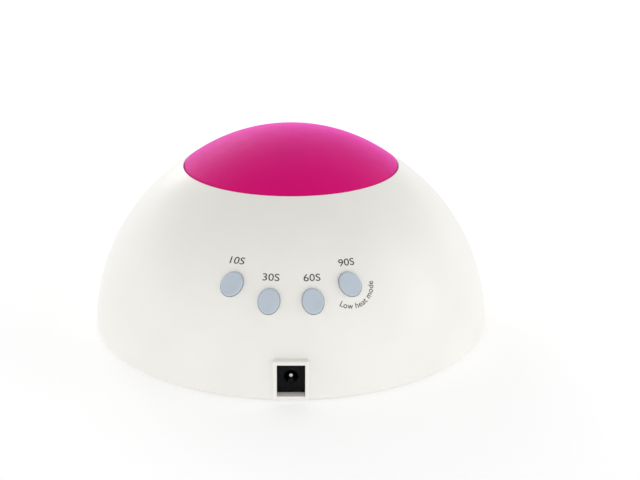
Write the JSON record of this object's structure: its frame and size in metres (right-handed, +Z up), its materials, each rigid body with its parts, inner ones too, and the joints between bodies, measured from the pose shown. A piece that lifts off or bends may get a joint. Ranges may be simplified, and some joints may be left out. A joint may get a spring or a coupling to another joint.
{
  "type": "uv led nail lamp",
  "caption": "Dome-shaped nail curing lamp: white shell with a rose pad on top, an arched hand opening, oval timer buttons and a power socket at the back, on a lift-off base tray.",
  "frame": {"origin": "on the table, under the dome's vertical axis, at the centre of the overall box", "axes": "+Z up; the hand opening faces -Y; the timer buttons and the power socket are on the back, +Y; +X is to the right seen from the front"},
  "size_m": [0.209, 0.2098, 0.1031],
  "materials": {
    "white_abs": "satin moulded",
    "rose_silicone": "satin moulded",
    "metallised_abs": "bright vacuum-metallised",
    "screw_steel": "zinc plated",
    "nickel_plate": "nickel plated",
    "mirror_steel": "polished",
    "foot_rubber": "matt moulded",
    "board_green": "solder mask",
    "capacitor_sleeve": "shrunk sleeve",
    "chip_epoxy": "moulded epoxy",
    "ferrite": "ground ferrite",
    "black_nylon": "moulded",
    "contact_brass": "tinned",
    "red_pvc": "extruded",
    "white_pvc": "extruded",
    "clear_epoxy": "water clear",
    "dark_epoxy": "dark tinted",
    "board_aluminium": "white mask on aluminium",
    "package_white": "moulded",
    "clear_lens": "clear silicone",
    "grey_abs": "satin moulded",
    "cover_steel": "tinned",
    "legend_ink": "pad printed",
    "led_die": "phosphor film"
  },
  "bodies": {
    "tray": {"base_tray": "white_abs", "tray_mirror": "mirror_steel", "tray_keepers": "nickel_plate", "tray_feet": "foot_rubber"},
    "head": {"base_frame": "white_abs", "base_screws": "screw_steel", "board_screws": "screw_steel", "capacitor": "capacitor_sleeve", "chip_resistors": "chip_epoxy", "control_board": "board_green", "controller_chip": "chip_epoxy", "driver_transistors": "chip_epoxy", "frame_magnets": "nickel_plate", "led_boards_crown": "board_aluminium", "led_boards_lower": "board_aluminium", "led_boards_middle": "board_aluminium", "led_boards_upper": "board_aluminium", "led_lenses_crown": "clear_lens", "led_lenses_lower": "clear_lens", "led_lenses_middle": "clear_lens", "led_lenses_upper": "clear_lens", "led_packages_crown": "package_white", "led_packages_lower": "package_white", "led_packages_middle": "package_white", "led_packages_upper": "package_white", "led_supply_leads": "red_pvc", "led_wiring": "white_pvc", "outer_shell": "white_abs", "power_inductor": "ferrite", "reflector_liner": "metallised_abs", "sensor_board": "board_green", "sensor_emitter": "clear_epoxy", "sensor_lead": "white_pvc", "sensor_receiver": "dark_epoxy", "socket_contacts": "contact_brass", "socket_housing": "black_nylon", "socket_leads": "red_pvc", "socket_pin": "nickel_plate", "switch_10s_body": "black_nylon", "switch_10s_cover": "cover_steel", "switch_30s_body": "black_nylon", "switch_30s_cover": "cover_steel", "switch_60s_body": "black_nylon", "switch_60s_cover": "cover_steel", "switch_90s_body": "black_nylon", "switch_90s_cover": "cover_steel", "top_pad": "rose_silicone"},
    "timer_10s": {"button_10s": "grey_abs", "switch_10s_plunger": "black_nylon"},
    "timer_30s": {"button_30s": "grey_abs", "switch_30s_plunger": "black_nylon"},
    "timer_60s": {"button_60s": "grey_abs", "switch_60s_plunger": "black_nylon"},
    "timer_90s": {"button_90s": "grey_abs", "switch_90s_plunger": "black_nylon"}
  },
  "joints": [
    {"name": "head_lift", "type": "slide", "parent": "tray", "child": "head", "axis": [0, 0, 1], "range_m": [0, 0.12]},
    {"name": "press_10s", "type": "slide", "parent": "head", "child": "timer_10s", "axis": [0, -0.866, -0.5], "range_m": [0, 0.0005], "stiffness_N_per_m": 3200},
    {"name": "press_30s", "type": "slide", "parent": "head", "child": "timer_30s", "axis": [0, -0.866, -0.5], "range_m": [0, 0.0005], "stiffness_N_per_m": 3200},
    {"name": "press_60s", "type": "slide", "parent": "head", "child": "timer_60s", "axis": [0, -0.866, -0.5], "range_m": [0, 0.0005], "stiffness_N_per_m": 3200},
    {"name": "press_90s", "type": "slide", "parent": "head", "child": "timer_90s", "axis": [0, -0.866, -0.5], "range_m": [0, 0.0005], "stiffness_N_per_m": 3200}
  ]
}
